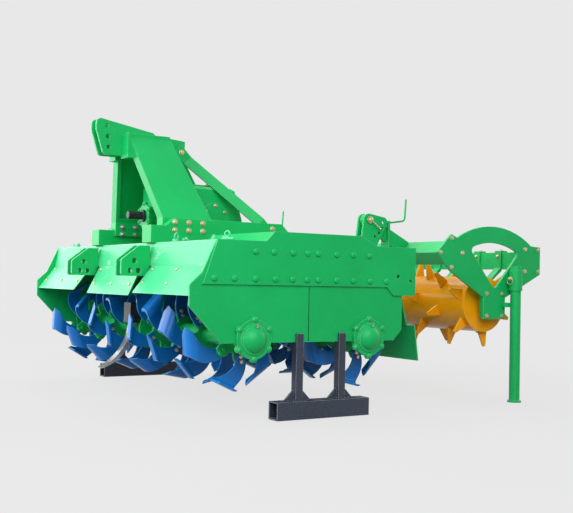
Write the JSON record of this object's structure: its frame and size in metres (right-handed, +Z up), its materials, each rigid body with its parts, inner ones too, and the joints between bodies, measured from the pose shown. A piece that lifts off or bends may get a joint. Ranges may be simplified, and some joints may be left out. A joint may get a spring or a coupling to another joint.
{
  "type": "rotary tiller",
  "caption": "Mounted rotary tiller with two tined rotors under a hood, a three-point mast, a toothed packer roller on a lifting frame, legs and skids.",
  "frame": {"origin": "on the floor, at the middle of the machine's width and overall length", "axes": "+Z up, the front with the hitch faces -Y, +X is the machine's left side"},
  "size_m": [2.308, 2.388, 1.5272],
  "materials": {
    "green_paint": "gloss green paint",
    "blue_paint": "gloss blue paint",
    "orange_paint": "gloss orange yellow paint",
    "slate_paint": "satin slate grey paint",
    "dark_steel": "blackened steel",
    "bare_steel": "plain steel"
  },
  "bodies": {
    "chassis": {"side_plate_left": "green_paint", "side_plate_right": "green_paint", "side_doubler_left": "green_paint", "side_doubler_right": "green_paint", "hood_deck": "green_paint", "front_panel": "green_paint", "apron_flap_centre": "green_paint", "apron_flap_left": "green_paint", "apron_flap_right": "green_paint", "rear_panel": "green_paint", "front_bearing_left": "green_paint", "front_bearing_right": "green_paint", "rear_bearing_left": "green_paint", "rear_bearing_right": "green_paint", "gearbox": "green_paint", "centre_gear_case": "green_paint", "centre_ripper": "bare_steel", "ripper_clamp": "dark_steel", "hitch_beam_left": "green_paint", "hitch_beam_right": "green_paint", "mast_plate_left": "green_paint", "mast_plate_right": "green_paint", "top_hitch_plate_left": "green_paint", "top_hitch_plate_right": "green_paint", "strut_left": "green_paint", "strut_right": "green_paint", "lower_clevis_left": "green_paint", "lower_clevis_right": "green_paint", "pivot_bracket_left": "green_paint", "pivot_bracket_right": "green_paint", "skid_runner_left": "slate_paint", "skid_runner_right": "slate_paint", "skid_posts_left": "slate_paint", "skid_posts_right": "slate_paint", "board_hinge_rod": "bare_steel"},
    "front_rotor": {"front_rotor": "green_paint", "front_tines": "blue_paint"},
    "rear_rotor": {"rear_rotor": "green_paint", "rear_tines": "blue_paint"},
    "input_shaft": {"input_shaft": "dark_steel"},
    "trailing_board": {"trailing_board": "green_paint"},
    "roller_frame": {"roller_arm_left": "green_paint", "roller_arm_right": "green_paint", "roller_end_plate_left": "green_paint", "roller_end_plate_right": "green_paint", "front_cross_beam": "green_paint", "rear_cross_beam": "green_paint", "roller_bearing_left": "green_paint", "roller_bearing_right": "green_paint", "scrapers": "green_paint", "leg_sleeve_left": "green_paint", "leg_sleeve_right": "green_paint", "depth_lever_left": "green_paint", "depth_lever_right": "green_paint"},
    "packer_roller": {"packer_drum": "orange_paint", "drum_end_left": "orange_paint", "drum_end_right": "orange_paint"},
    "leg_left": {"leg_left": "green_paint"},
    "leg_right": {"leg_right": "green_paint"}
  },
  "joints": [
    {"name": "front_rotor_spin", "type": "hinge", "parent": "chassis", "child": "front_rotor", "pos_m": [0, -0.803, 0.386], "axis": [1, 0, 0], "continuous": true},
    {"name": "rear_rotor_spin", "type": "hinge", "parent": "chassis", "child": "rear_rotor", "pos_m": [0, -0.13, 0.386], "axis": [1, 0, 0], "continuous": true},
    {"name": "input_spin", "type": "hinge", "parent": "chassis", "child": "input_shaft", "pos_m": [0, -0.931, 1.012], "axis": [0, -1, 0], "continuous": true},
    {"name": "board_swing", "type": "hinge", "parent": "chassis", "child": "trailing_board", "pos_m": [0, 0.153, 0.624], "axis": [1, 0, 0], "range_deg": [0, 35]},
    {"name": "roller_lift", "type": "hinge", "parent": "chassis", "child": "roller_frame", "pos_m": [0, 0.191, 1.016], "axis": [1, 0, 0], "range_deg": [-10, 20]},
    {"name": "roller_spin", "type": "hinge", "parent": "roller_frame", "child": "packer_roller", "pos_m": [0, 0.828, 0.552], "axis": [1, 0, 0], "continuous": true},
    {"name": "leg_slide_left", "type": "slide", "parent": "roller_frame", "child": "leg_left", "axis": [0, 0, 1], "range_m": [0, 0.4]},
    {"name": "leg_slide_right", "type": "slide", "parent": "roller_frame", "child": "leg_right", "axis": [0, 0, 1], "range_m": [0, 0.4]}
  ],
  "couplings": [
    {"joint": "rear_rotor_spin", "follows": "front_rotor_spin", "ratio": 1},
    {"joint": "input_spin", "follows": "front_rotor_spin", "ratio": 2}
  ]
}
